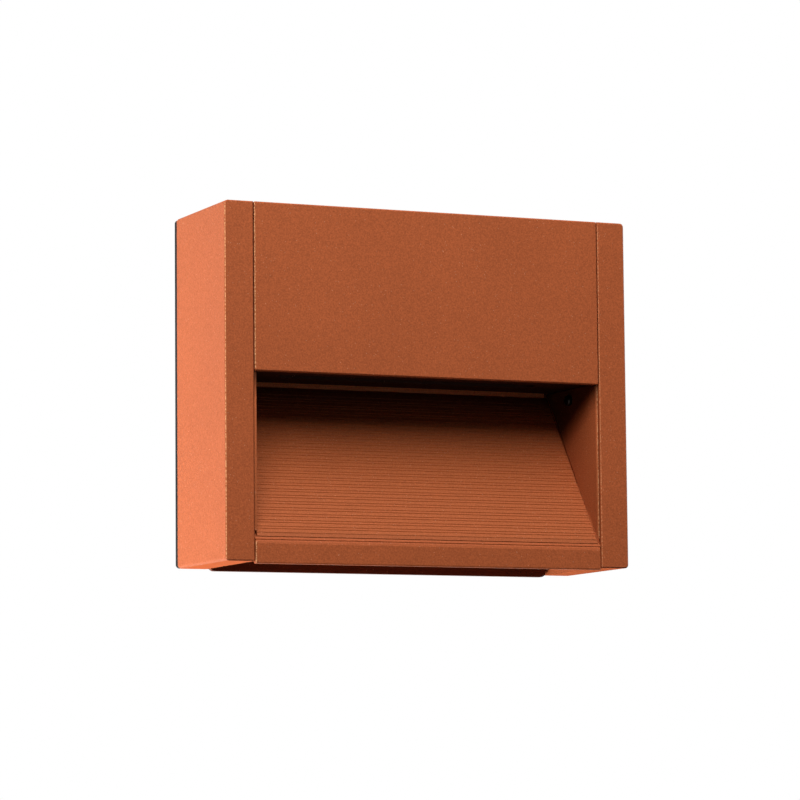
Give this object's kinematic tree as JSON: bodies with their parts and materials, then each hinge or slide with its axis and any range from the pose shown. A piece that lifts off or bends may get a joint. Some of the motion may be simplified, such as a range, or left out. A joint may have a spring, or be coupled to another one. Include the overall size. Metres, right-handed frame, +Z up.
{
  "type": "outdoor wall light",
  "caption": "Square-edged outdoor wall light whose hood throws light down a ribbed slope, between plain end caps, with a wall plate that it hangs on.",
  "frame": {"origin": "centre of the wall plate's four screw slots, on the wall's surface", "axes": "+Z up, +X along the light to the right as seen from the front, +Y into the wall; the light faces -Y"},
  "size_m": [0.149, 0.047, 0.1207],
  "materials": {
    "coated_body": "fine-textured rust-orange powder coat",
    "coated_reflector": "fine-textured rust-orange powder coat",
    "coated_strip": "fine-textured rust-orange powder coat",
    "dark_screws": "blackened steel",
    "black_rubber": "matt black rubber",
    "silicone_white": "translucent silicone",
    "steel_screws": "plain stainless steel",
    "plain_aluminium": "mill finish",
    "clear_glass": "clear tempered glass",
    "board_white": "white solder mask",
    "board_green": "green solder mask",
    "led_chip": "yellow phosphor",
    "white_plastic": "moulded white plastic",
    "transformer_core": "taped ferrite transformer",
    "capacitor_can": "sleeved cans",
    "zinc_steel": "zinc plated",
    "tinned_brass": "bright brass",
    "brown_lead": "brown insulation",
    "blue_lead": "blue insulation",
    "green_lead": "green and yellow insulation",
    "white_lead": "flat white insulation"
  },
  "bodies": {
    "wall_side": {"wall_gasket": "black_rubber", "wall_plate": "coated_body"},
    "lamp": {"housing_profile": "coated_body", "end_cap_left": "coated_body", "end_cap_right": "coated_body", "end_gasket_left": "black_rubber", "end_gasket_right": "black_rubber", "cap_screws": "steel_screws", "side_plate_left": "coated_body", "side_plate_right": "coated_body", "side_plate_screws": "dark_screws", "ribbed_reflector": "coated_reflector", "reflector_strip_left": "coated_strip", "reflector_strip_centre": "coated_strip", "reflector_strip_right": "coated_strip", "diffuser_gasket": "silicone_white", "diffuser_glass": "clear_glass", "led_heatsink": "plain_aluminium", "led_board": "board_white", "leds": "led_chip", "gear_tray": "zinc_steel", "driver_base": "white_plastic", "driver_case": "white_plastic", "driver_board": "board_green", "driver_transformer": "transformer_core", "driver_capacitors": "capacitor_can", "driver_screw": "steel_screws", "terminal_block": "white_plastic", "terminal_screws": "tinned_brass", "earth_tag": "tinned_brass", "live_lead": "brown_lead", "neutral_lead": "blue_lead", "earth_lead": "green_lead", "led_lead": "white_lead", "cable_grommet": "black_rubber", "fixing_screws": "steel_screws"}
  },
  "joints": [
    {"name": "lamp_pull_off", "type": "slide", "parent": "wall_side", "child": "lamp", "axis": [0, -1, 0], "range_m": [0, 0.06]}
  ]
}
